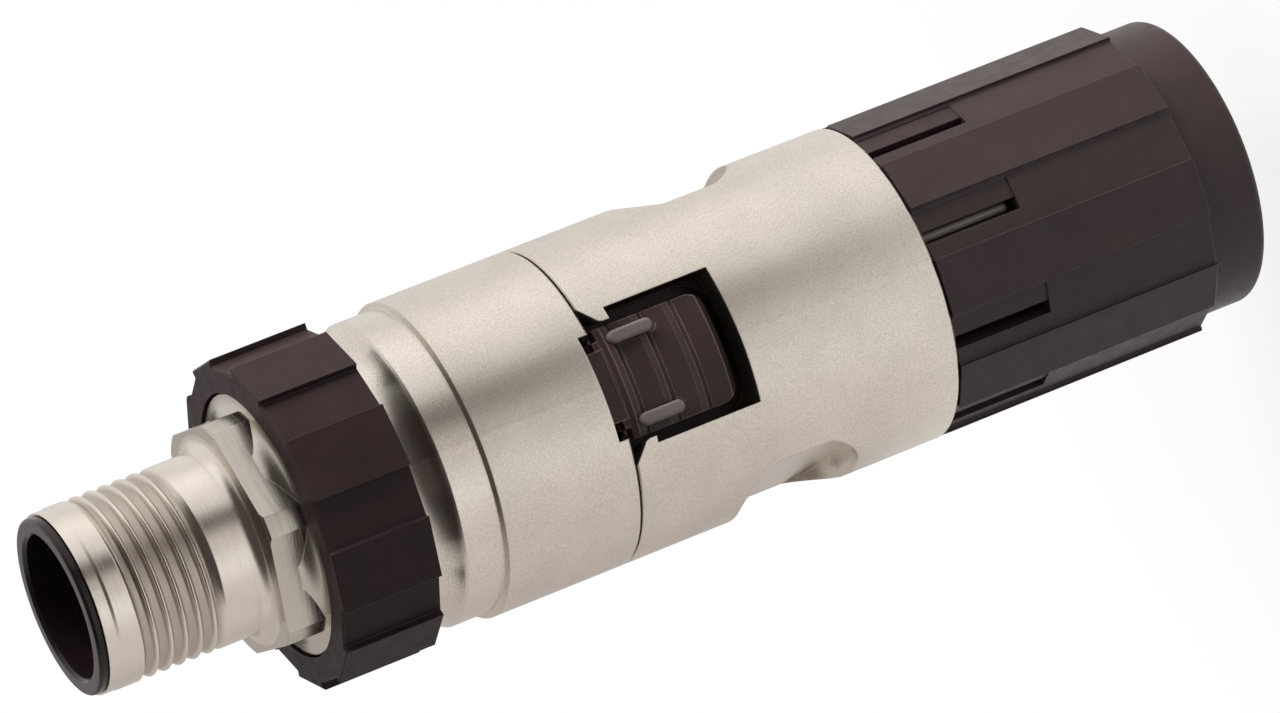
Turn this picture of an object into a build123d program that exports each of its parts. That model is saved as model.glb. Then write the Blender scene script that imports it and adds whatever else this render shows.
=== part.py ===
from build123d import *
import os
from math import cos, sin, radians

# Field-wired M12 plug, male side, with a push latch and a cap nut at the cable end.
# It stands on the cap nut's rear face. +Z runs from there to the mating end, and +X points
# at the latch. Every size is in millimetres. Heights are stacked up from the rear face.

# Lengths along the axis, from the rear face to the mouth
rim_length = 4.1
pad_length = 18.9
nut_gap = 0.12
rear_body_length = 22.7
seam_gap = 0.08
front_body_length = 9.3
bevel_length = 0.15
collar_length = 2.65
neck_length = 1.9
grip_gap = 0.1
grip_length = 6.7
hex_length = 2.55
shank_length = 3.35
thread_length = 5.95
lead_length = 1.85
lip_gap = 0.06
lip_length = 0.54

# Radial walls and steps, from the thread outwards
thread_r = 6.0
lead_cut = 0.2
screw_wall = 0.67
nose_wall = 1.7
screw_rear_wall = 0.92
flange_step = 0.6
flange_play = 0.15
hex_flat_step = 1.25
hex_corner_step = 2.0
grip_wall = 2.15
neck_step = 1.91
neck_cove_r = 2.5
collar_step = 1.17
body_step = 0.42
shell_wall = 2.2
front_wall = 2.3
lip_wall = 1.08

# Stepped flats on the grip and on the cap nut: nine raised and nine lowered ones
flat_count = 9
grip_step = 0.45
grip_raised_angle = 22.0
grip_turn = 11.1
nut_step = 0.25
nut_raised_angle = 20.5
nut_turn = 28.7
hex_turn = -2.65

# Latch window and finger pockets in the rear housing
window_half_width = 4.5
window_length = 7.25
window_shift = 0.17
window_neck_length = 1.65
window_neck_half_width = 3.9
window_flare = 1.25
window_flare_length = 0.9
notch_half_width = 3.45
notch_depth = 0.75
pocket_depth = 1.62
pocket_half_length = 6.0
pocket_half_width = 4.2
pocket_offset = 11.55
pocket_turn = 96.8

# Fits, and what holds the insert and the screw
run_fit = 0.08
slide_fit = 0.05
free_gap = 0.3
inner_body_fit = 0.1
cavity_depth = 9.6
nose_reach = 1.2
snap_place = 3.2
snap_width = 0.7
snap_play = 0.15
carrier_flange = 4.0
inner_reach = 11.6
recess_wall = 0.6
key_width = 1.4
key_height = 0.6
key_turn = 45.0
carrier_seal_width = 0.84
body_seal_width = 0.7
seal_groove_place = 0.8
seal_groove_width = 1.3
seal_groove_depth = 0.55
seal_play = 0.03

# Contacts
contact_count = 4
contact_edge = 1.22
contact_r = 0.5
contact_recess = 2.6
contact_round = 0.35
fork_length = 4.5
fork_width = 1.9
fork_thickness = 0.5
fork_slot = 0.4
fork_slot_length = 3.2
fork_gap = 1.0
block_reach = 9.5
block_gap = 0.7
wire_channel_r = 0.8

# Cable end
stub_step = 1.6
stub_neck_cut = 1.0
stub_wall = 1.4
stub_thread_length = 8.8
stub_end_height = 6.6
nut_wall = 1.46
rim_step = 1.0
cable_step = 1.75
cable_hole_length = 1.7
funnel_step = 1.55
funnel_length = 1.6
washer_thickness = 0.5
washer_play = 0.85
washer_step = 1.9
seat_gap = 0.05
cage_wall = 1.35
cage_flange = 0.9
cage_flange_step = 1.6
cage_length = 8.8
cage_slots = 8
cage_slot_width = 0.8
seal_wall = 1.75
seal_length = 8.0
screen_wall = 0.4
screen_length = 9.5
screen_slots = 10
slot_width = 0.85
slot_length = 6.8
slot_turn = 7.4
ledge_width = 1.35
ledge_depth = 0.14
ratchet_wall = 0.55
wire_r = 0.3
wire_play = 0.09
wire_turn = 9.0
wire_inset = 1.2

# Latch
latch_inset = 0.8
latch_thickness = 1.0
latch_half_width = 3.6
latch_length = 7.35
latch_gap = 0.62
latch_corner = 1.1
latch_edge = 0.3
tongue_half_width = 2.3
rib_pitch = 2.2
rib_lead = 0.35
rib_land = 0.45
rib_step = 0.2
groove_width = 0.22
groove_depth = 0.38
bar_length = 3.05
bar_width = 0.86
bar_height = 0.65
bar_offset = 2.72
bar_sink = 0.1
bar_inset = 0.5
bar_play = 0.1
bar_rear_play = 0.35
pin_r = 0.45
pin_depth = 0.8
pin_length = 7.4
pin_inset = 0.75
lug_r = 0.6
lug_width = 0.55
hub_r = 0.8
hub_width = 1.2
recess_half_width = 4.35
recess_corner = 2.2

# Heights worked out from the lengths
z_pads = rim_length
z_nut_front = z_pads + pad_length
z_rear_body = z_nut_front + nut_gap
z_seam = z_rear_body + rear_body_length
z_front_body = z_seam + seam_gap
z_bevel = z_front_body + front_body_length
z_collar = z_bevel + bevel_length
z_shoulder = z_collar + collar_length
z_neck = z_shoulder + neck_length
z_grip = z_neck + grip_gap
z_hex_foot = z_grip + grip_length
z_hex = z_hex_foot + hex_length
z_thread = z_hex + shank_length
z_lead = z_thread + thread_length
z_sleeve = z_lead + lead_length
z_lip = z_sleeve + lip_gap
z_top = z_lip + lip_length
z_carrier = z_bevel - carrier_flange
z_snap = z_hex_foot - snap_place

# Radii worked out from the walls, steps and fits
screw_bore_r = thread_r - screw_wall
insert_r = screw_bore_r - run_fit
nose_bore_r = insert_r + slide_fit
nose_r = nose_bore_r + nose_wall
screw_rear_bore_r = nose_r + run_fit
shank_r = screw_rear_bore_r + screw_rear_wall
flange_r = shank_r + flange_step
grip_raised_r = flange_r + flange_play + grip_wall
neck_r = nose_r + neck_step
collar_r = neck_r + collar_step
body_r = collar_r + body_step
rear_bore_r = body_r - shell_wall
cavity_r = body_r - front_wall
inner_body_r = cavity_r - inner_body_fit
lip_r = thread_r - lead_cut
mouth_r = lip_r - lip_wall
contact_circle_r = mouth_r - contact_edge
latch_r = body_r - latch_inset
pin_place_r = cavity_r - pin_depth
recess_floor = pin_place_r - hub_r - free_gap
inner_bore_r = recess_floor - recess_wall
stub_thread_r = body_r - stub_step
stub_neck_r = stub_thread_r - stub_neck_cut
stub_bore_r = stub_neck_r - stub_wall
cage_r = stub_bore_r - slide_fit
seal_r = cage_r - cage_wall - slide_fit
cable_hole_r = stub_bore_r - cable_step
funnel_r = cable_hole_r + funnel_step
wire_place_r = stub_neck_r + ratchet_wall + wire_r
skirt_wall_r = wire_place_r + wire_r + wire_play
nut_raised_r = skirt_wall_r + nut_wall
rim_r = nut_raised_r - rim_step
contact_angles = [index * 360 / contact_count for index in range(contact_count)]


def turned(*edges):
    """A solid turned about Z from edges drawn in the (radius, height) plane."""
    outline = edges[0]
    for edge in edges[1:]:
        outline += edge
    return revolve(Plane.XZ * make_face(outline), Axis.Z)


def lathe(*points):
    """A solid turned from straight runs between (radius, height) points."""
    return turned(Polyline(*points, close=True))


def ring(inner, outer, low, high, edge=0.0):
    """A plain ring, with its two outer edges broken when an edge width is given."""
    if edge == 0:
        return lathe((inner, low), (outer, low), (outer, high), (inner, high))
    return lathe((inner, low), (outer - edge, low), (outer, low + edge),
                 (outer, high - edge), (outer - edge, high), (inner, high))


def rod(radius, low, high):
    """A plain upright cylinder between two heights."""
    return Pos(0, 0, low) * extrude(Circle(radius), high - low)


def block(x_low, x_high, half_width, z_low, z_high, y_middle=0.0):
    """A box given by its reach in X, its half width in Y and its heights."""
    centre = ((x_low + x_high) / 2, y_middle, (z_low + z_high) / 2)
    return Pos(*centre) * Box(x_high - x_low, 2 * half_width, z_high - z_low)


def polar(radius, angle):
    """A point in the XY plane given by radius and angle in degrees."""
    return (radius * cos(radians(angle)), radius * sin(radians(angle)))


def stepped_flats(raised_r, step, raised_angle, turn, low, high):
    """A prism with raised flats and lowered ones by turns round the axis."""
    pitch = 360 / flat_count
    points = []
    for index in range(flat_count):
        start = turn + index * pitch - raised_angle / 2
        points.append(polar(raised_r, start))
        points.append(polar(raised_r, start + raised_angle))
        points.append(polar(raised_r - step, start + raised_angle))
        points.append(polar(raised_r - step, start + pitch))
    return Pos(0, 0, low) * extrude(make_face(Polyline(*points, close=True)), high - low)


def contact_carrier():
    """The moulded insert: lip at the mouth, thin shroud, floor with pin holes, rear flange."""
    floor = z_top - cavity_depth
    lip_round = 0.2
    body = turned(
        Polyline((0, z_carrier), (inner_body_r, z_carrier), (inner_body_r, z_bevel),
                 (insert_r, z_bevel),
                 (insert_r, z_lip), (lip_r, z_lip), (lip_r, z_top - lip_round)),
        ThreePointArc((lip_r, z_top - lip_round),
                      (lip_r - lip_round * 0.293, z_top - lip_round * 0.293),
                      (lip_r - lip_round, z_top)),
        Polyline((lip_r - lip_round, z_top), (mouth_r + lip_round, z_top),
                 (mouth_r, z_top - lip_round), (mouth_r, floor), (0, floor),
                 (0, z_carrier)))
    for angle in contact_angles:
        x, y = polar(contact_circle_r, angle)
        body -= Pos(x, y, 0) * rod(contact_r + slide_fit, z_carrier - 1.0, floor + 1.0)
    key = block(mouth_r - key_height, (mouth_r + insert_r) / 2, key_width / 2,
                floor - 0.5, z_top - contact_recess)
    return body + Rot(0, 0, key_turn) * key


def contacts():
    """Four turned pins, each with a flat cutting fork at its wire end."""
    tip = z_top - contact_recess
    foot = z_carrier - fork_gap
    pin = rod(contact_r, foot, tip)
    pin = fillet(pin.edges().sort_by(Axis.Z)[-1], contact_round)
    fork = block(-fork_thickness / 2, fork_thickness / 2, fork_width / 2,
                 foot - fork_length, foot)
    fork = chamfer(fork.edges().filter_by(Axis.X).group_by(Axis.Z)[0], 0.5)
    fork -= block(-fork_thickness, fork_thickness, fork_slot / 2,
                  foot - fork_length - 1.0, foot - fork_length + fork_slot_length)
    contact = pin + fork
    pieces = []
    for angle in contact_angles:
        x, y = polar(contact_circle_r, angle)
        pieces.append(Pos(x, y, 0) * Rot(0, 0, angle) * contact)
    return Compound(children=pieces)


def seal_ring(middle_r, middle_z, width):
    """An O-ring with an eight-sided section."""
    section = RegularPolygon(width / 2, 8, major_radius=False, rotation=22.5)
    return revolve(Plane.XZ * Pos(middle_r, middle_z) * section, Axis.Z)


def carrier_seal():
    """O-ring in the corner between the insert's flange and the front housing."""
    half = carrier_seal_width / 2
    return seal_ring(insert_r + half + run_fit, z_bevel + half + seal_play, carrier_seal_width)


def coupling_screw():
    """The rotating sleeve: lead, thread zone, shank, milled hexagon, flange and rear shank."""
    fillet_r = 0.8
    flare_r = 1.3
    break_r = 0.15
    flange_foot = z_hex_foot - 0.5
    shank = turned(
        Polyline((screw_bore_r, z_hex_foot), (screw_bore_r, z_sleeve),
                 (thread_r - lead_cut, z_sleeve), (thread_r - lead_cut, z_sleeve - 0.75),
                 (thread_r, z_sleeve - 0.95), (thread_r, z_hex + fillet_r)),
        ThreePointArc((thread_r, z_hex + fillet_r),
                      (thread_r + fillet_r * 0.293, z_hex + fillet_r * 0.293),
                      (thread_r + fillet_r, z_hex)),
        Polyline((thread_r + fillet_r, z_hex), (thread_r + fillet_r, z_hex_foot),
                 (screw_bore_r, z_hex_foot)))
    hex_corner_r = thread_r + hex_corner_step
    blank = lathe((screw_bore_r, z_hex_foot), (hex_corner_r, z_hex_foot),
                  (hex_corner_r, z_hex - break_r), (hex_corner_r - break_r, z_hex),
                  (screw_bore_r, z_hex))
    prism = RegularPolygon(thread_r + hex_flat_step, 6, major_radius=False)
    prism = Pos(0, 0, z_hex_foot) * Rot(0, 0, hex_turn) * extrude(prism, hex_length)
    flare = turned(
        Polyline((flange_r - flare_r, z_hex_foot - 0.2 + flare_r), (screw_bore_r, z_hex_foot + 1.0),
                 (screw_bore_r, flange_foot), (flange_r, flange_foot),
                 (flange_r, z_hex_foot - 0.2)),
        ThreePointArc((flange_r, z_hex_foot - 0.2),
                      (flange_r - flare_r * 0.707, z_hex_foot - 0.2 + flare_r * 0.293),
                      (flange_r - flare_r, z_hex_foot - 0.2 + flare_r)))
    rear = ring(screw_bore_r, shank_r, z_grip + 0.1, flange_foot)
    body = shank + (blank & prism) + flare + rear
    body -= rod(screw_rear_bore_r, z_grip, z_hex_foot - nose_reach)
    return body - ring(nose_r - 0.2, screw_rear_bore_r + 0.42, z_snap - 0.2,
                       z_snap + snap_width + 0.2)


def grip_ring():
    """The black grip: stepped flats outside, a counterbore for the screw's flange inside."""
    body = stepped_flats(grip_raised_r, grip_step, grip_raised_angle, grip_turn,
                         z_grip, z_hex_foot)
    body = chamfer(body.faces().sort_by(Axis.Z)[-1].edges(), 0.12)
    body -= rod(shank_r, z_grip - 1.0, z_hex_foot + 1.0)
    return body - rod(flange_r + flange_play, z_hex_foot - 0.5, z_hex_foot + 1.0)


def retaining_ring():
    """Split snap ring that keeps the screw on the front housing's nose."""
    body = ring(nose_r - 0.35, screw_rear_bore_r + 0.25, z_snap, z_snap + snap_width)
    return body - block(-nose_r * 2, 0, 1.2, z_snap - 1, z_snap + 2)


def front_housing():
    """Die-cast front half: nose for the screw, coved neck, collar and body with the latch notch."""
    nose_top = z_hex_foot - nose_reach - snap_play
    inner_shoulder = z_bevel + 1.0
    edge = 0.15
    body = turned(
        Polyline((cavity_r, z_front_body), (body_r - edge, z_front_body),
                 (body_r, z_front_body + edge), (body_r, z_bevel),
                 (collar_r, z_collar), (collar_r, z_shoulder - edge),
                 (collar_r - edge, z_shoulder)),
        RadiusArc((collar_r - edge, z_shoulder), (neck_r, z_neck), neck_cove_r),
        Polyline((neck_r, z_neck), (nose_r, z_neck),
                 (nose_r, nose_top - 0.3), (nose_r - 0.3, nose_top), (nose_bore_r, nose_top),
                 (nose_bore_r, inner_shoulder), (cavity_r, inner_shoulder),
                 (cavity_r, z_front_body)))
    body -= ring(nose_r - 0.4, nose_r + 1.0, z_snap - snap_play, z_snap + snap_width + snap_play)
    notch = block(cavity_r - 1.0, body_r + 1.0, notch_half_width,
                  z_front_body - 1.0, z_front_body + notch_depth)
    return body - notch


def inner_body():
    """Black moulded body that joins the halves and carries the latch and the seal."""
    low = z_seam - inner_reach
    high = z_carrier - 0.1
    groove_low = low + seal_groove_place
    body = ring(inner_bore_r, inner_body_r, low, high)
    body -= ring(inner_body_r - seal_groove_depth, inner_body_r + 1.0, groove_low,
                 groove_low + seal_groove_width)
    recess_low = z_seam - window_neck_length - window_length - 0.3
    recess_high = z_front_body + notch_depth
    recess = block(recess_floor, inner_body_r + 1.0, recess_half_width, recess_low, recess_high)
    body -= fillet(recess.edges().filter_by(Axis.X).group_by(Axis.Z)[0], recess_corner)
    pin_z = z_seam - pin_inset
    lug = block(recess_floor - 0.3, pin_place_r + lug_r - 0.1, lug_width / 2,
                pin_z - lug_r, pin_z + lug_r)
    for side in (1, -1):
        body += Pos(0, side * (pin_length - lug_width) / 2, 0) * lug
    return body - latch_pin_shape(pin_r + 0.01)


def latch_pin_shape(radius):
    """A cylinder along Y at the latch's pivot."""
    pin = Rot(90, 0, 0) * Cylinder(radius, pin_length)
    return Pos(pin_place_r, 0, z_seam - pin_inset) * pin


def latch_plate_profile():
    """Section of the plate in the (radius, height) plane: ribs, each with a groove behind it."""
    front = z_seam - latch_gap
    rear = front - latch_length
    crest = front - rib_lead
    points = [(latch_r - latch_thickness, rear), (latch_r - latch_thickness, front),
              (latch_r - latch_edge, front), (latch_r, crest)]
    while crest - rib_pitch > rear + latch_edge:
        groove = crest - rib_land - 0.05
        points.append((latch_r - 0.08, crest - rib_land))
        points.append((latch_r - groove_depth, groove))
        points.append((latch_r - groove_depth, groove - groove_width))
        points.append((latch_r - rib_step, groove - groove_width - 0.02))
        crest -= rib_pitch
        points.append((latch_r, crest))
    points.append((latch_r - rib_step, rear + 0.12))
    points.append((latch_r - latch_edge, rear))
    return points


def latch():
    """Ribbed release plate with rounded rear corners, on two lugs at its pivot."""
    front = z_seam - latch_gap
    rear = front - latch_length
    plate = lathe(*latch_plate_profile())
    outline = block(latch_r - 2 * latch_thickness, body_r, latch_half_width, rear, front)
    outline = fillet(outline.edges().filter_by(Axis.X).group_by(Axis.Z)[0], latch_corner)
    plate = plate & outline
    pin_z = z_seam - pin_inset
    hub = Pos(pin_place_r, 0, pin_z) * Rot(90, 0, 0) * Cylinder(hub_r, hub_width)
    hub += block(pin_place_r, latch_r - latch_thickness + 0.2, hub_width / 2,
                 pin_z - hub_r, pin_z + hub_r - 0.3)
    hub_middle = pin_length / 2 - lug_width - free_gap - hub_width / 2
    for side in (1, -1):
        plate += Pos(0, side * hub_middle, 0) * hub
    plate += block(latch_r - latch_thickness, latch_r - 0.55, tongue_half_width,
                   front - 0.5, z_seam + notch_depth - 0.3)
    relief = block(recess_floor, pin_place_r + lug_r + 0.1, lug_width / 2 + 0.2,
                   pin_z - hub_r - 0.2, front + 1.0)
    for side in (1, -1):
        plate -= bar_shape(side, body_r, bar_play, bar_rear_play)
        plate -= Pos(0, side * (pin_length - lug_width) / 2, 0) * relief
    return plate - latch_pin_shape(pin_r + run_fit)


def bar_seat_height():
    """The distance from the axis to the flat seat of a bar."""
    return (latch_r ** 2 - bar_offset ** 2) ** 0.5 - bar_sink


def bar_shape(side, top, play=0.0, rear_play=0.0):
    """A capsule along the plate, from its seat up to the given distance from the axis."""
    z_front = z_seam - latch_gap - bar_inset + play
    length = bar_length + play + rear_play
    shape = SlotOverall(length, bar_width + 2 * play, rotation=90)
    base = bar_seat_height()
    bar = extrude(Plane.YZ * shape, top - base)
    return Pos(base, side * bar_offset, z_front - length / 2) * bar


def latch_bars():
    """Two grey bars set in the plate's front corners, with rounded tops."""
    bars = []
    for side in (1, -1):
        bar = bar_shape(side, bar_seat_height() + bar_height)
        top = bar.faces().sort_by(Axis.X)[-1]
        bars.append(fillet(top.edges(), 0.22))
    return Compound(children=bars)


def latch_pin():
    """Steel pin that the latch turns on."""
    return latch_pin_shape(pin_r)


def wire_block():
    """Pale block with four wire channels that presses the wires into the forks."""
    foot = z_carrier - fork_gap
    low = z_seam - block_reach
    high = foot - block_gap
    body = rod(inner_bore_r - inner_body_fit, low, high)
    for angle in contact_angles:
        x, y = polar(contact_circle_r, angle)
        seat = block(-fork_thickness / 2 - slide_fit, fork_thickness / 2 + slide_fit,
                     fork_width / 2 + slide_fit, foot - fork_length - slide_fit, high + 1.0)
        body -= Pos(x, y, 0) * Rot(0, 0, angle) * seat
        body -= Pos(x, y, 0) * rod(wire_channel_r, low - 1.0, foot - fork_length + 1.0)
    return body


def body_seal():
    """O-ring between the inner body and the rear housing."""
    middle_z = z_seam - inner_reach + seal_groove_place + seal_groove_width / 2
    return seal_ring(rear_bore_r - seal_play - body_seal_width / 2, middle_z, body_seal_width)


def window_outline():
    """The window seen from outside, in (Y, Z): a wide field, a neck and its flared mouth."""
    neck_low = z_seam - window_neck_length
    low = neck_low - window_length
    top = z_seam + 1.0
    flare_low = z_seam - window_flare_length
    half = window_half_width
    neck = window_neck_half_width
    mouth = window_neck_half_width + window_flare
    shift = window_shift
    return [(shift - half, low), (shift + half, low), (shift + half, neck_low), (neck, neck_low),
            (neck, neck_low + 0.45), (neck + 0.1, flare_low), (mouth, z_seam), (mouth, top),
            (-mouth, top), (-mouth, z_seam), (-neck - 0.1, flare_low), (-neck, neck_low + 0.45),
            (-neck, neck_low), (shift - half, neck_low)]


def rear_housing():
    """Die-cast rear half: window, two finger pockets, cavity and threaded stub."""
    edge = 0.15
    step = z_rear_body + 5.0
    body = lathe((stub_bore_r, stub_end_height), (stub_thread_r - 0.5, stub_end_height),
                 (stub_thread_r, stub_end_height + 0.5),
                 (stub_thread_r, stub_end_height + stub_thread_length - 0.5),
                 (stub_thread_r - 0.6, stub_end_height + stub_thread_length),
                 (stub_neck_r, stub_end_height + stub_thread_length),
                 (stub_neck_r, z_rear_body), (body_r - edge, z_rear_body),
                 (body_r, z_rear_body + edge), (body_r, z_seam - edge / 2),
                 (body_r - edge / 2, z_seam), (rear_bore_r, z_seam),
                 (rear_bore_r, step + 1.8), (stub_bore_r, step))
    body -= extrude(Plane.YZ * make_face(Polyline(*window_outline(), close=True)), body_r + 1.0)
    stadium = SlotOverall(2 * pocket_half_length, 2 * pocket_half_width)
    cutter = extrude(Plane.YZ * stadium, pocket_depth + 1.0)
    cutter = Pos(body_r - pocket_depth, 0, z_seam - pocket_offset) * cutter
    for angle in (pocket_turn, pocket_turn + 180):
        body -= Rot(0, 0, angle) * cutter
    return body - ratchet_wire_shape(wire_r + 0.02)


def ratchet_wire_shape(radius):
    """The wire's straight limb, with a rounded free end."""
    x, y = polar(wire_place_r, wire_turn)
    low = z_nut_front - slot_length + 0.25
    limb = rod(radius, low, z_rear_body + wire_inset)
    limb = fillet(limb.edges().sort_by(Axis.Z)[0], radius * 0.9)
    return Pos(x, y, 0) * limb


def ratchet_wire():
    """Bright spring wire, held in the rear housing, that the slots pass over."""
    return ratchet_wire_shape(wire_r)


def ratchet_sleeve():
    """Black sleeve on the stub's neck behind the slots."""
    low = stub_end_height + stub_thread_length + 0.1
    body = ring(stub_neck_r + 0.02, stub_neck_r + ratchet_wall, low, z_rear_body - 0.02)
    return body - ratchet_wire_shape(wire_r + 0.02)


def screen_spring():
    """Thin slotted sleeve that meets the cable's screen."""
    low = stub_end_height + cage_length + 2.0
    body = ring(cage_r - screen_wall, cage_r, low, low + screen_length)
    for index in range(screen_slots):
        slot = block(0, cage_r + 1, 0.35, low + 1.5, low + screen_length + 1)
        body -= Rot(0, 0, index * 360 / screen_slots) * slot
    return body


def clamping_cage():
    """Slotted plastic cage with a rear flange, round the cable seal."""
    inner = cage_r - cage_wall
    flange = cage_r + cage_flange_step
    low = stub_end_height - seat_gap - cage_flange
    body = lathe((inner, low), (flange, low), (flange, low + cage_flange),
                 (cage_r, low + cage_flange), (cage_r, low + cage_length - 0.4),
                 (cage_r - 0.4, low + cage_length), (inner, low + cage_length))
    for index in range(cage_slots):
        slot = block(0, cage_r + 1, cage_slot_width / 2, low + cage_flange + 1.2,
                     low + cage_length + 1)
        body -= Rot(0, 0, index * 360 / cage_slots) * slot
    return body


def cable_seal():
    """Rubber sleeve seal that the cage closes on the cable."""
    low = stub_end_height - seat_gap - cage_flange + 0.1
    return ring(seal_r - seal_wall, seal_r, low, low + seal_length, 0.3)


def thrust_washer():
    """Slip washer between the cage and the cap nut's shoulder."""
    high = stub_end_height - 2 * seat_gap - cage_flange
    return ring(cable_hole_r + washer_play, stub_bore_r + washer_step,
                high - washer_thickness, high)


def cap_nut():
    """Black union nut: stepped flats, rear rim, nine slots, skirt, thread bore and cable hole."""
    shoulder = stub_end_height - 3 * seat_gap - cage_flange - washer_thickness
    thread_bore_r = stub_thread_r + run_fit
    rear_round = 0.5
    skirt_low = stub_end_height + stub_thread_length + 0.3
    body = stepped_flats(nut_raised_r, nut_step, nut_raised_angle, nut_turn, z_pads, z_nut_front)
    body = chamfer(body.faces().sort_by(Axis.Z)[0].edges(), 0.16)
    rim = turned(
        Polyline((0, z_pads + 1.0), (0, 0), (rim_r - rear_round, 0)),
        ThreePointArc((rim_r - rear_round, 0),
                      (rim_r - rear_round * 0.293, rear_round * 0.293),
                      (rim_r, rear_round)),
        Polyline((rim_r, rear_round), (rim_r, z_pads + 1.0), (0, z_pads + 1.0)))
    hollow = lathe((0, z_nut_front + 1.0), (skirt_wall_r, z_nut_front + 1.0),
                   (skirt_wall_r, skirt_low), (thread_bore_r, skirt_low - 0.3),
                   (thread_bore_r, shoulder), (funnel_r, shoulder),
                   (cable_hole_r, funnel_length + cable_hole_length),
                   (cable_hole_r, funnel_length), (funnel_r, -0.01), (0, -0.01))
    body = body + rim - hollow
    slot_low = z_nut_front - slot_length
    raised_mid = nut_raised_r - nut_step
    for index in range(flat_count):
        slot = block(thread_bore_r, nut_raised_r + 1, slot_width / 2, slot_low, z_nut_front + 1)
        ledge = block(raised_mid * cos(radians(10)) - ledge_depth, nut_raised_r + 1,
                      ledge_width / 2, slot_low, z_nut_front + 1, (slot_width + ledge_width) / 2)
        body -= Rot(0, 0, slot_turn + index * 360 / flat_count) * (slot + ledge)
    return body


nodes = {
    "contact_carrier": contact_carrier,
    "contacts": contacts,
    "carrier_seal": carrier_seal,
    "coupling_screw": coupling_screw,
    "grip_ring": grip_ring,
    "retaining_ring": retaining_ring,
    "front_housing": front_housing,
    "inner_body": inner_body,
    "latch": latch,
    "latch_bars": latch_bars,
    "latch_pin": latch_pin,
    "wire_block": wire_block,
    "body_seal": body_seal,
    "rear_housing": rear_housing,
    "ratchet_wire": ratchet_wire,
    "ratchet_sleeve": ratchet_sleeve,
    "screen_spring": screen_spring,
    "clamping_cage": clamping_cage,
    "cable_seal": cable_seal,
    "thrust_washer": thrust_washer,
    "cap_nut": cap_nut,
}

os.makedirs("parts", exist_ok=True)
for name, make in nodes.items():
    export_step(make(), f"parts/{name}.step")
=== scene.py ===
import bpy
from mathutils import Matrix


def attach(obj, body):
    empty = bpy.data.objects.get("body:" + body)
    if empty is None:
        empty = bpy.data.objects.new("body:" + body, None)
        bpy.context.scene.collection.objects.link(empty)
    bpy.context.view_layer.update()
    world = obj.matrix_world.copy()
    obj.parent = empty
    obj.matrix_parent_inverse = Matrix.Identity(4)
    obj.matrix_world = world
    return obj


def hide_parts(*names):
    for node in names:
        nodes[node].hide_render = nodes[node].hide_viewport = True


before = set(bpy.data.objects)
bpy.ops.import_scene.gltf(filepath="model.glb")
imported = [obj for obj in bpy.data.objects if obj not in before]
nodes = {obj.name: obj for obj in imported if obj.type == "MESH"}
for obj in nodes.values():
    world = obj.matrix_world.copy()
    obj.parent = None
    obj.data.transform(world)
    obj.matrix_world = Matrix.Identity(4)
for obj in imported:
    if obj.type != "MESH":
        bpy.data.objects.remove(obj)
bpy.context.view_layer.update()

import math

import bmesh
import bpy
from mathutils import Matrix, Vector

MM = 0.001
WHITE = (1, 1, 1, 1)

# Camera, worked out from the photograph's outline: the place and the three axes in the part's frame
CAMERA_PLACE = (0.5314, -0.01113, 0.2314)
CAMERA_RIGHT = (0.306862, -0.374632, -0.874921)
CAMERA_UP = (0.146213, 0.926916, -0.345615)
CAMERA_BACK = (0.940456, -0.021869, 0.339211)
CAMERA_LENS = 253.125
CAMERA_SENSOR = 36.0
CAMERA_CLIP = 0.01

# The studio's brightness round the object, by azimuth in degrees: a light tent with one dark gap
STUDIO = ((-180, 0.60), (-163, 0.60), (-140, 0.60), (-100, 0.74), (-62, 0.78), (-28, 1.04), (2, 0.80),
          (27, 0.12), (50, 0.95), (88, 1.22), (120, 0.92), (150, 0.92), (180, 0.60))

# A second dark place in the tent, round one direction: the cosines at which it starts and is full
DARK_LEVEL = 0.07
DARK_AXIS = (0.643, 0.0, 0.766)
DARK_START = 0.42
DARK_FULL = 0.72

# How much green and blue a dark level of the tent loses
BROWN_GREEN = 0.13
BROWN_BLUE = 0.19

# Matte surfaces get one even level and one large lamp
ROOM_LEVEL = 0.45
LAMP_PLACE = (0.06, 0.32, 0.16)
LAMP_TARGET = (0, 0, 0.045)
LAMP_SIZE = 0.25
LAMP_POWER = 2.2

# The cap nut unscrews 6 mm downwards, and the floor lies just below that
FLOOR_HEIGHT = -6.2 * MM
FLOOR_RADIUS = 0.09
FLOOR_SIDES = 96
FLOOR_COLOR = (0.85, 0.84, 0.82, 1)
FLOOR_ROUGHNESS = 0.9

# Near the middle the floor glows less and shows the shadow: glow levels, and shares of the radius
GLOW_INNER = 0.8
GLOW_OUTER = 1.0
GLOW_FROM = 0.2
GLOW_TO = 0.7

# M12x1 thread on the coupling screw
THREAD_PITCH = 1.0 * MM
THREAD_CREST = 6.0 * MM
THREAD_DEPTH = 0.3 * MM
THREAD_FLANK = math.radians(30)
GROOVE_HALF = 0.27 * MM
THREAD_LOW = 72.3 * MM
THREAD_HIGH = 78.4 * MM
THREAD_RUNOUT = 0.6 * MM
THREAD_STEP = 0.05 * MM
THREAD_SIDES = 180
SHANK_FOOT = 70.2 * MM

# The screw's lead, widened in the copy, and how near a vertex is to a wall that it lies on
LEAD_RADIUS = 5.8 * MM
LEAD_WIDENED = 5.95 * MM
LEAD_LOW = 79.0 * MM
ON_WALL = 0.003 * MM

# Outside this radius the housings are as cast and a little rougher, inside it they are turned
CAST_RADIUS = 10.15 * MM
CAST_ROUGHNESS = 0.08

# The milled hexagon is duller than the turned parts of the screw, and lies outside this radius
MILLED_RADIUS = 6.95 * MM
MILLED_TINT = 0.68
MILLED_SHARE = 0.8

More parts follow.
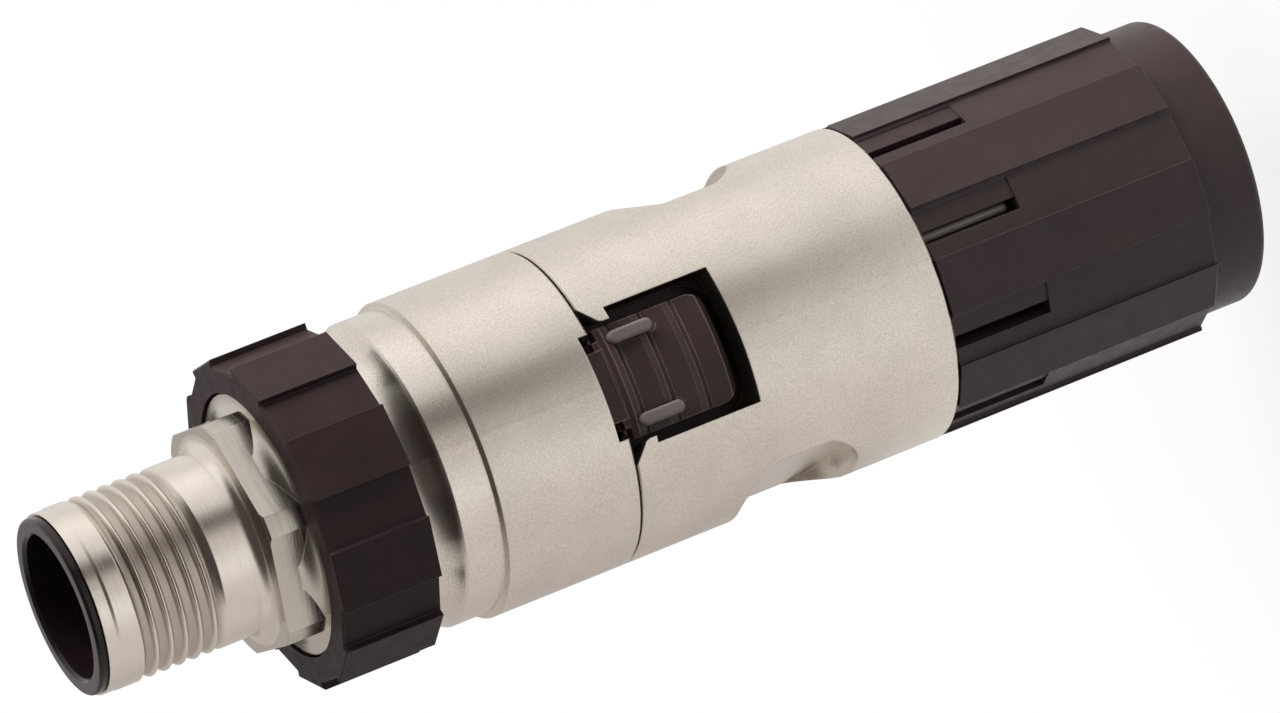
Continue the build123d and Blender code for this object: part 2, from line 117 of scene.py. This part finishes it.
# Edges of the metal: the bevel's radius, how much brighter they are painted (rubbed wear and painted
# highlight) and how much rougher
METAL_EDGE = 0.1 * MM
TURNED_EDGE = 0.06 * MM
METAL_EDGE_WEAR_AND_HIGHLIGHT = 0.12
EDGE_ROUGHNESS = 0.3

# Noise scales, in waves per metre
CLOUD_WAVES = 260.0
GLOSS_WAVES = 180.0
PLATING_WAVES = 500.0
TOOL_WAVES = (300, 300, 9000)
TURNED_GRAIN_WAVES = 6500.0
MOTTLE_WAVES = 330.0
PLASTIC_GLOSS_WAVES = 1100.0
PLASTIC_GRAIN_SIZE = 0.18 * MM

# Colours
NICKEL = (0.735, 0.668, 0.59)
GROOVE_SHADE_BROWN = (0.34, 0.27, 0.22, 1)
BRIGHT_STEEL = (0.72, 0.7, 0.67)
DARK_STEEL = (0.1, 0.09, 0.085)
GOLD = (0.85, 0.62, 0.28)
# The ratchet wire's colour is raised as painted light, so that it reads lit deep in its dark slot
WIRE_PAINTED_LIGHT = (0.34, 0.29, 0.265)
BLACK = (0.028, 0.016, 0.0162)
INNER_BLACK = (0.036, 0.022, 0.021)
LATCH_BLACK = (0.040, 0.024, 0.023)
GREY = (0.14, 0.115, 0.11)
PALE = (0.68, 0.66, 0.6)


def make_camera():
    camera = bpy.data.objects.new("camera", bpy.data.cameras.new("camera"))
    bpy.context.scene.collection.objects.link(camera)
    axes = Matrix((CAMERA_RIGHT, CAMERA_UP, CAMERA_BACK)).transposed().to_4x4()
    camera.matrix_world = Matrix.Translation(CAMERA_PLACE) @ axes
    camera.data.lens = CAMERA_LENS
    camera.data.sensor_width = CAMERA_SENSOR
    camera.data.clip_start = CAMERA_CLIP
    bpy.context.scene.camera = camera


class Graph:
    """Short names for building a node tree."""

    def __init__(self, tree):
        self.tree = tree
        self.tree.nodes.clear()

    def add(self, kind, inputs=(), **settings):
        node = self.tree.nodes.new(kind)
        for name, value in settings.items():
            setattr(node, name, value)
        for socket, value in dict(inputs).items():
            self.put(node.inputs[socket], value)
        return node

    def put(self, socket, value):
        if isinstance(value, bpy.types.NodeSocket):
            self.tree.links.new(value, socket)
        else:
            socket.default_value = value

    def math(self, operation, first, second=0.0, third=0.0):
        node = self.add("ShaderNodeMath", {0: first, 1: second, 2: third}, operation=operation)
        return node.outputs[0]

    def vector(self, operation, first, second=(0, 0, 0)):
        return self.add("ShaderNodeVectorMath", {0: first, 1: second}, operation=operation).outputs

    def place(self):
        return self.add("ShaderNodeTexCoord").outputs["Object"]

    def direction(self):
        return self.add("ShaderNodeTexCoord").outputs["Generated"]

    def noise(self, scale, detail=3.0, stretch=(1, 1, 1), rough=0.5):
        mapping = self.add("ShaderNodeMapping", {"Vector": self.place(), "Scale": stretch})
        node = self.add("ShaderNodeTexNoise", {"Vector": mapping.outputs[0], "Scale": scale,
                                               "Detail": detail, "Roughness": rough})
        return node.outputs["Fac"]

    def spread(self, value, low, high, start=0.3, end=0.7, **settings):
        """A value from start to end is stretched to the range given. Most noise lies in 0.3 to 0.7."""
        node = self.add("ShaderNodeMapRange", {"Value": value, "From Min": start, "From Max": end,
                                               "To Min": low, "To Max": high}, **settings)
        return node.outputs[0]

    def blend(self, factor, first, second):
        node = self.add("ShaderNodeMix", {0: factor, 6: first, 7: second}, data_type="RGBA")
        return node.outputs[2]

    def edge(self, radius, soft=0.86, hard=0.99):
        """The normal rounded over nearby edges, and a mask that is 1 on those edges."""
        rounded = self.add("ShaderNodeBevel", {"Radius": radius}, samples=6).outputs[0]
        plain = self.add("ShaderNodeNewGeometry").outputs["Normal"]
        along = self.vector("DOT_PRODUCT", rounded, plain)["Value"]
        return rounded, self.spread(along, 1.0, 0.0, soft, hard)

    def away(self):
        """Distance from the part's axis."""
        flat = self.vector("MULTIPLY", self.place(), (1, 1, 0))[0]
        return self.vector("LENGTH", flat)["Value"]

    def bump(self, height, distance, normal):
        return self.add("ShaderNodeBump", {"Height": height, "Distance": distance,
                                           "Normal": normal}).outputs[0]

    def rays(self):
        """A mask for glossy rays, and one for camera and transmission rays."""
        paths = self.add("ShaderNodeLightPath").outputs
        seen = self.math("MAXIMUM", paths["Is Camera Ray"], paths["Is Transmission Ray"])
        return paths["Is Glossy Ray"], seen

    def surface(self, inputs):
        """A principled shader with these inputs, as the material's surface."""
        shader = self.add("ShaderNodeBsdfPrincipled", inputs)
        self.add("ShaderNodeOutputMaterial", {"Surface": shader.outputs[0]})


def warm(level):
    """A studio level as a colour: the darker it is, the browner."""
    dark = max(0.0, 1.0 - level)
    return (level, level * (1 - BROWN_GREEN * dark), level * (1 - BROWN_BLUE * dark), 1)


def make_world():
    """White behind the object. Metal shows a light tent, and matte surfaces get an even level."""
    world = bpy.data.worlds.new("studio")
    bpy.context.scene.world = world
    world.use_nodes = True
    g = Graph(world.node_tree)
    way = g.add("ShaderNodeSeparateXYZ", {0: g.direction()}).outputs
    azimuth = g.math("ARCTAN2", way[1], way[0])
    ramp = g.add("ShaderNodeValToRGB", {0: g.math("MULTIPLY_ADD", azimuth, 0.5 / math.pi, 0.5)})
    stops = ramp.color_ramp
    stops.interpolation = "EASE"
    for index, (degrees, level) in enumerate(STUDIO):
        # A new ramp already has two stops
        place = degrees / 360 + 0.5
        stop = stops.elements[index] if index < 2 else stops.elements.new(place)
        stop.position = place
        stop.color = warm(level)
    toward = g.vector("DOT_PRODUCT", g.direction(), DARK_AXIS)["Value"]
    dark = g.spread(toward, 0.0, 1.0, DARK_START, DARK_FULL)
    tent = g.blend(dark, ramp.outputs["Color"], warm(DARK_LEVEL))
    glossy, seen = g.rays()
    color = g.blend(glossy, (ROOM_LEVEL, ROOM_LEVEL, ROOM_LEVEL, 1), tent)
    color = g.blend(seen, color, WHITE)
    room = g.add("ShaderNodeBackground", {"Color": color, "Strength": 1.0})
    g.add("ShaderNodeOutputWorld", {"Surface": room.outputs[0]})


def new_material(name):
    """A material and the graph of its emptied node tree."""
    material = bpy.data.materials.new(name)
    material.use_nodes = True
    return material, Graph(material.node_tree)


def make_floor():
    """A white disc that keeps a soft shadow round the object."""
    mesh = bpy.data.meshes.new("floor")
    build = bmesh.new()
    bmesh.ops.create_circle(build, cap_ends=True, segments=FLOOR_SIDES, radius=FLOOR_RADIUS)
    build.to_mesh(mesh)
    build.free()
    floor = bpy.data.objects.new("floor", mesh)
    bpy.context.scene.collection.objects.link(floor)
    floor.location.z = FLOOR_HEIGHT
    material, g = new_material("floor")
    matte = g.add("ShaderNodeBsdfPrincipled", {"Base Color": FLOOR_COLOR, "Roughness": FLOOR_ROUGHNESS})
    glow = g.add("ShaderNodeEmission", {"Color": WHITE, "Strength": 1.0})
    middle = g.vector("LENGTH", g.place())["Value"]
    fade = g.spread(middle, GLOW_INNER, GLOW_OUTER, FLOOR_RADIUS * GLOW_FROM, FLOOR_RADIUS * GLOW_TO,
                    interpolation_type="SMOOTHSTEP")
    glossy, seen = g.rays()
    share = g.math("MULTIPLY", fade, g.math("MAXIMUM", seen, glossy))
    mix = g.add("ShaderNodeMixShader", {0: share, 1: matte.outputs[0], 2: glow.outputs[0]})
    g.add("ShaderNodeOutputMaterial", {"Surface": mix.outputs[0]})
    mesh.materials.append(material)


def make_lamp():
    """One large lamp, kept out of the metal's reflections."""
    data = bpy.data.lights.new("top_light", "AREA")
    data.shape = "RECTANGLE"
    data.size = LAMP_SIZE
    data.size_y = LAMP_SIZE
    data.energy = LAMP_POWER
    lamp = bpy.data.objects.new("top_light", data)
    bpy.context.scene.collection.objects.link(lamp)
    lamp.location = LAMP_PLACE
    lamp.rotation_euler = (Vector(LAMP_PLACE) - Vector(LAMP_TARGET)).to_track_quat("Z", "Y").to_euler()
    lamp.visible_glossy = False


def scaled(color, factor):
    return tuple(channel * factor for channel in color)


def tinted(color, factor):
    """A colour made lighter or darker, with alpha, for a node's socket."""
    return tuple(min(1.0, channel) for channel in scaled(color, factor)) + (1,)


def metal(name, color, roughness, grain, grain_size):
    """Plated metal: fine grain, slow changes in gloss, and edges a little brighter: rubbed wear and
    painted highlight.
    """
    material, g = new_material(name)
    rounded, edge_wear_and_highlight = g.edge(METAL_EDGE)
    speckle = g.noise(1 / MM / grain_size, 2.0)
    cloud = g.math("MULTIPLY_ADD", g.noise(CLOUD_WAVES), 0.25, g.math("MULTIPLY", speckle, 0.75))
    shade = g.blend(g.spread(cloud, 0, 1, 0.4, 0.6), tinted(color, 0.88), tinted(color, 1.07))
    # Edges lighter in colour: partly rubbed wear, partly painted highlight
    shade = g.blend(g.math("MULTIPLY", edge_wear_and_highlight, METAL_EDGE_WEAR_AND_HIGHLIGHT * 4), shade, tinted(color, 1 + METAL_EDGE_WEAR_AND_HIGHLIGHT))
    gloss = g.spread(g.noise(GLOSS_WAVES, 2.0), roughness - 0.02, roughness + 0.02)
    cast = g.math("GREATER_THAN", g.away(), CAST_RADIUS)
    gloss = g.math("ADD", gloss, g.math("MULTIPLY", cast, CAST_ROUGHNESS))
    gloss = g.math("ADD", gloss, g.math("MULTIPLY", edge_wear_and_highlight, EDGE_ROUGHNESS))
    g.surface({"Base Color": shade, "Metallic": 1.0, "Roughness": gloss,
               "Normal": g.bump(speckle, grain * MM, rounded)})
    return material


def turned_metal(name, color, roughness):
    """Turned and plated metal: rings left by the tool, and painted shade in the thread's grooves, a
    darker brown.
    """
    material, g = new_material(name)
    rounded, edge_wear_and_highlight = g.edge(TURNED_EDGE)
    rings = g.noise(1.0, 4.0, stretch=TOOL_WAVES)
    speckle = g.noise(TURNED_GRAIN_WAVES, 2.0)
    away = g.away()
    height = g.add("ShaderNodeSeparateXYZ", {0: g.place()}).outputs[2]
    # Painted shade: the thread's grooves are darkened towards brown
    groove_shade = g.spread(away, 1.0, 0.0, THREAD_CREST - THREAD_DEPTH, THREAD_CREST - 0.08 * MM)
    groove_shade = g.math("MULTIPLY", groove_shade, g.math("GREATER_THAN", height, SHANK_FOOT))
    plating = g.spread(g.noise(PLATING_WAVES, 4.0), 0, 1)
    shade = g.blend(plating, tinted(color, 0.96), tinted(color, 1.03))
    shade = g.blend(g.math("MULTIPLY", groove_shade, 0.6), shade, GROOVE_SHADE_BROWN)
    milled = g.math("MULTIPLY", g.math("GREATER_THAN", away, MILLED_RADIUS), MILLED_SHARE)
    shade = g.blend(milled, shade, tinted(color, MILLED_TINT))
    # Edges lighter in colour: partly rubbed wear, partly painted highlight
    shade = g.blend(g.math("MULTIPLY", edge_wear_and_highlight, 0.5), shade, tinted(color, 1.15))
    gloss = g.spread(rings, roughness - 0.06, roughness + 0.06)
    gloss = g.math("ADD", gloss, g.math("MULTIPLY", groove_shade, 0.15))
    gloss = g.math("ADD", gloss, g.math("MULTIPLY", edge_wear_and_highlight, EDGE_ROUGHNESS))
    relief = g.math("ADD", g.math("MULTIPLY", rings, 0.6), g.math("MULTIPLY", speckle, 0.4))
    g.surface({"Base Color": shade, "Metallic": 1.0, "Roughness": gloss,
               "Normal": g.bump(relief, 0.004 * MM, rounded)})
    return material


def plastic(name, color, roughness, specular=0.3, grain=0.006, edge_radius=0.08, edge_wear_highlight_gain=1.0,
            mottle=0.12, soft=0.86, hard=0.99):
    """Moulded plastic or rubber: eroded grain, faint clouds, and paler edges: wear from use, and with a
    large gain a painted highlight.
    """
    material, g = new_material(name)
    rounded, edge_wear_and_highlight = g.edge(edge_radius * MM, soft, hard)
    speckle = g.noise(1 / PLASTIC_GRAIN_SIZE)
    cloud = g.noise(MOTTLE_WAVES, 5.0, rough=0.6)
    shade = g.blend(g.spread(cloud, 0, 1), tinted(color, 1 - mottle), tinted(color, 1 + mottle))
    # Edges paler in colour: wear from use, and with a large gain a painted highlight
    shade = g.blend(g.math("MULTIPLY", edge_wear_and_highlight, 0.5), shade, tinted(color, 1 + edge_wear_highlight_gain))
    gloss = g.spread(g.noise(PLASTIC_GLOSS_WAVES), roughness - 0.05, roughness + 0.05)
    shine = g.math("MULTIPLY_ADD", edge_wear_and_highlight, 0.5, specular)
    g.surface({"Base Color": shade, "Roughness": gloss, "Specular IOR Level": shine,
               "Normal": g.bump(speckle, grain * MM, rounded)})
    return material


def dress(material, *names):
    for name in names:
        for slot in nodes[name].material_slots:
            slot.material = material


def share_of(value):
    return max(0.0, min(1.0, value))


def thread_depth(angle, height):
    """How deep the groove is at a place on the screw, from the helix that runs through it."""
    turn = (height - THREAD_LOW) / THREAD_PITCH - angle / (2 * math.pi)
    off_middle = abs(turn - math.floor(turn) - 0.5) * THREAD_PITCH
    outer_half = GROOVE_HALF + THREAD_DEPTH * math.tan(THREAD_FLANK)
    depth = (outer_half - off_middle) / (outer_half - GROOVE_HALF)
    runout = min(height - THREAD_LOW, THREAD_HIGH - height) / THREAD_RUNOUT
    return THREAD_DEPTH * share_of(depth) * share_of(runout)


def on_wall(vertex, radius):
    return abs(vertex.co.xy.length - radius) < ON_WALL


def threaded_screw(material):
    """A copy of the CAD screw whose plain wall is replaced by one with a thread."""
    screw = bpy.data.objects.new("threaded_screw", nodes["coupling_screw"].data.copy())
    bpy.context.scene.collection.objects.link(screw)
    screw.data.materials.clear()
    screw.data.materials.append(material)
    shape = bmesh.new()
    shape.from_mesh(screw.data)
    for vertex in shape.verts:
        if on_wall(vertex, LEAD_RADIUS) and vertex.co.z > LEAD_LOW:
            vertex.co.xy *= LEAD_WIDENED / LEAD_RADIUS
    wall = [face for face in shape.faces if all(on_wall(vertex, THREAD_CREST) for vertex in face.verts)]
    heights = [vertex.co.z for face in wall for vertex in face.verts]
    low, high = min(heights), max(heights)
    bmesh.ops.delete(shape, geom=wall, context="FACES")
    rows = round((high - low) / THREAD_STEP)
    rings = []
    for row in range(rows + 1):
        height = low + (high - low) * row / rows
        ring = []
        for index in range(THREAD_SIDES):
            angle = 2 * math.pi * index / THREAD_SIDES
            radius = THREAD_CREST - thread_depth(angle, height)
            ring.append(shape.verts.new((radius * math.cos(angle), radius * math.sin(angle), height)))
        rings.append(ring)
    for below, above in zip(rings, rings[1:]):
        for index in range(THREAD_SIDES):
            after = (index + 1) % THREAD_SIDES
            face = shape.faces.new((below[index], below[after], above[after], above[index]))
            face.smooth = True
    shape.to_mesh(screw.data)
    shape.free()
    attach(screw, "coupling")
    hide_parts("coupling_screw")


make_camera()
make_world()
make_floor()
make_lamp()

threaded_screw(turned_metal("turned_nickel", NICKEL, 0.24))
dress(metal("satin_nickel", NICKEL, 0.28, grain=0.005, grain_size=0.11), "front_housing",
      "rear_housing")
dress(metal("bright_steel", BRIGHT_STEEL, 0.25, grain=0.002, grain_size=0.2), "retaining_ring",
      "screen_spring")
dress(metal("dark_steel", DARK_STEEL, 0.4, grain=0.002, grain_size=0.2), "latch_pin")
dress(metal("gold", GOLD, 0.22, grain=0.001, grain_size=0.2), "contacts")

dress(plastic("grip_plastic", BLACK, 0.48, specular=0.12), "grip_ring")
dress(plastic("nut_plastic", scaled(BLACK, 1.2), 0.45, specular=0.28), "cap_nut")
dress(plastic("gloss_plastic", scaled(BLACK, 0.35), 0.2, grain=0.001), "contact_carrier")
dress(plastic("dark_rubber", scaled(BLACK, 0.8), 0.6), "cable_seal", "carrier_seal", "body_seal")
dress(plastic("inner_plastic", INNER_BLACK, 0.42, specular=0.22), "inner_body", "ratchet_sleeve")
# The latch's large edge gain paints highlights along the crests of its ribs
dress(plastic("latch_plastic", LATCH_BLACK, 0.38, specular=0.25, edge_radius=0.16, edge_wear_highlight_gain=7.0,
              soft=0.95, hard=0.998), "latch")
dress(plastic("grey_plastic", GREY, 0.42, edge_wear_highlight_gain=0.4), "latch_bars")
dress(plastic("pale_plastic", PALE, 0.5, edge_wear_highlight_gain=0.1, mottle=0.03), "wire_block", "thrust_washer",
      "clamping_cage")
# The wire is pale and not metallic: painted light, so that it looks lit inside its slot
dress(plastic("wire_painted_light", WIRE_PAINTED_LIGHT, 0.3, specular=0.7, grain=0.002), "ratchet_wire")

bpy.context.scene.view_settings.view_transform = "Standard"
